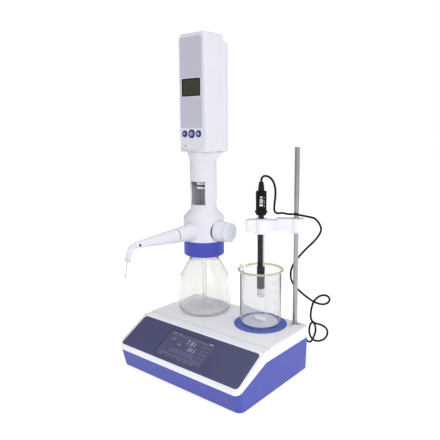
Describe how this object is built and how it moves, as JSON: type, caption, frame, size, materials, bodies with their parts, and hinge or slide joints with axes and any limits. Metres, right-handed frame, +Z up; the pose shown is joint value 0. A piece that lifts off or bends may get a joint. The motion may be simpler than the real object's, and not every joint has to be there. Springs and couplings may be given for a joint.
{
  "type": "automatic titration station",
  "caption": "Motor burette on a screw-neck reagent bottle, standing on a stirrer base with sloping touch display, beaker, support rod, electrode arm and electrode lead.",
  "frame": {"origin": "at bench level, under the middle of the whole machine without its lead", "axes": "+Z up; +X to the right along the front; -Y towards the user, from the side with the display"},
  "size_m": [0.2759, 0.3029, 0.5665],
  "materials": {
    "case_white": "satin moulded",
    "case_blue": "satin moulded",
    "collar_blue": "ribbed moulded",
    "panel_grey": "film",
    "overlay_dark": "glossy film",
    "display_glass": "glossy",
    "lcd_dark": "glossy",
    "button_navy": "moulded",
    "disc_blue": "satin",
    "rubber_black": "matte",
    "arm_white": "satin moulded",
    "steel": "brushed",
    "motor_steel": "plain",
    "zinc": "plain",
    "magnet": "plated",
    "brass": "turned",
    "board_green": "solder mask",
    "battery": "sleeve",
    "clear_glass": "clear",
    "barrel_glass": "clear",
    "clear_plastic": "translucent",
    "stir_white": "smooth",
    "piston_grey": "moulded",
    "probe_glass": "tinted shaft",
    "cap_black": "satin",
    "lead_black": "matte",
    "socket_nickel": "plated",
    "black_plastic": "moulded"
  },
  "bodies": {
    "base": {"base_pan": "case_blue", "top_cover": "case_white", "front_overlay": "overlay_dark", "touch_display": "display_glass", "stirrer_pad": "disc_blue", "main_board": "board_green", "stirrer_motor": "motor_steel", "motor_bracket": "zinc", "bnc_socket": "socket_nickel", "power_inlet": "black_plastic", "switch_frame": "black_plastic", "rubber_feet": "rubber_black", "case_screws": "steel", "support_rod": "steel", "lead_plug": "black_plastic", "lead_lower": "lead_black"},
    "stirrer_rotor": {"magnet_rotor": "zinc", "drive_magnets": "magnet"},
    "power_switch": {"switch_rocker": "black_plastic"},
    "beaker": {"beaker": "clear_glass"},
    "stir_bar": {"stir_bar": "stir_white"},
    "bottle": {"reagent_bottle": "clear_glass"},
    "collar": {"collar_ring": "collar_blue"},
    "burette": {"neck_seal": "rubber_black", "valve_block": "arm_white", "stem_sleeve": "arm_white", "glass_barrel": "barrel_glass", "bearing_plate": "zinc", "drive_motor": "motor_steel", "head_shell_front": "arm_white", "head_shell_rear": "arm_white", "head_panel": "panel_grey", "lcd_display": "lcd_dark", "head_board": "board_green", "battery_cells": "battery", "suction_tube": "clear_plastic", "knob_seal": "rubber_black"},
    "lead_screw": {"lead_screw": "steel"},
    "piston": {"piston_head": "piston_grey", "piston_seal": "rubber_black", "piston_rod": "steel", "drive_nut": "brass"},
    "valve": {"valve_knob": "arm_white", "valve_plug": "stir_white"},
    "nozzle": {"nozzle_sleeve": "arm_white", "nozzle_seal": "rubber_black", "nozzle_tip": "clear_plastic", "needle": "steel"},
    "button_left": {"button_left": "button_navy"},
    "button_middle": {"button_middle": "button_navy"},
    "button_right": {"button_right": "button_navy"},
    "carriage": {"rod_bush": "arm_white", "lead_middle": "lead_black"},
    "arm": {"electrode_arm": "arm_white", "arm_grommet": "rubber_black"},
    "electrode": {"electrode_shaft": "probe_glass", "electrode_cap": "cap_black", "electrode_guard": "clear_plastic", "cable_boot": "rubber_black", "lead_upper": "lead_black"}
  },
  "joints": [
    {"name": "stirrer_spin", "type": "hinge", "parent": "base", "child": "stirrer_rotor", "pos_m": [0.061, 0.06754, 0.0675], "axis": [0, 0, 1], "continuous": true},
    {"name": "power_rocker", "type": "hinge", "parent": "base", "child": "power_switch", "pos_m": [-0.1, 0.11254, 0.034], "axis": [1, 0, 0], "range_deg": [0, 16]},
    {"name": "beaker_lift", "type": "slide", "parent": "base", "child": "beaker", "axis": [0, 0, 1], "range_m": [0, 0.03]},
    {"name": "stir_bar_spin", "type": "hinge", "parent": "beaker", "child": "stir_bar", "pos_m": [0.061, 0.06754, 0.0841], "axis": [0, 0, 1], "continuous": true},
    {"name": "bottle_lift", "type": "slide", "parent": "base", "child": "bottle", "axis": [0, 0, 1], "range_m": [0, 0.06]},
    {"name": "collar_turn", "type": "hinge", "parent": "bottle", "child": "collar", "pos_m": [-0.059, 0.06054, 0.195], "axis": [0, 0, 1], "range_deg": [0, 540]},
    {"name": "burette_swivel", "type": "hinge", "parent": "bottle", "child": "burette", "pos_m": [-0.059, 0.06054, 0.206], "axis": [0, 0, 1], "range_deg": [-120, 60]},
    {"name": "screw_turn", "type": "hinge", "parent": "burette", "child": "lead_screw", "pos_m": [-0.059, 0.06054, 0.436], "axis": [0, 0, 1], "range_deg": [-1800, 3150]},
    {"name": "piston_slide", "type": "slide", "parent": "burette", "child": "piston", "axis": [0, 0, 1], "range_m": [-0.035, 0.02]},
    {"name": "valve_turn", "type": "hinge", "parent": "burette", "child": "valve", "pos_m": [-0.019, 0.06054, 0.228], "axis": [1, 0, 0], "range_deg": [0, 90]},
    {"name": "nozzle_swivel", "type": "hinge", "parent": "burette", "child": "nozzle", "pos_m": [-0.059, -0.01146, 0.2268], "axis": [0, 1, 0], "range_deg": [-90, 90]},
    {"name": "button_left_press", "type": "slide", "parent": "burette", "child": "button_left", "axis": [0, 1, 0], "range_m": [0, 0.0012], "stiffness_N_per_m": 300, "springref_m": -0.0004},
    {"name": "button_middle_press", "type": "slide", "parent": "burette", "child": "button_middle", "axis": [0, 1, 0], "range_m": [0, 0.0012], "stiffness_N_per_m": 300, "springref_m": -0.0004},
    {"name": "button_right_press", "type": "slide", "parent": "burette", "child": "button_right", "axis": [0, 1, 0], "range_m": [0, 0.0012], "stiffness_N_per_m": 300, "springref_m": -0.0004},
    {"name": "carriage_lift", "type": "slide", "parent": "base", "child": "carriage", "axis": [0, 0, 1], "range_m": [-0.02, 0.06], "deforming": ["lead_lower"]},
    {"name": "arm_swing", "type": "hinge", "parent": "carriage", "child": "arm", "pos_m": [0.108, 0.10224, 0.248], "axis": [0, 0, 1], "range_deg": [-15, 15], "deforming": ["lead_middle"]},
    {"name": "electrode_lift", "type": "slide", "parent": "arm", "child": "electrode", "axis": [0, 0, 1], "range_m": [0, 0.05], "deforming": ["lead_upper"]}
  ],
  "couplings": [
    {"joint": "stir_bar_spin", "follows": "stirrer_spin", "ratio": 1},
    {"joint": "screw_turn", "follows": "piston_slide", "rad_per_m": -1570.8}
  ]
}
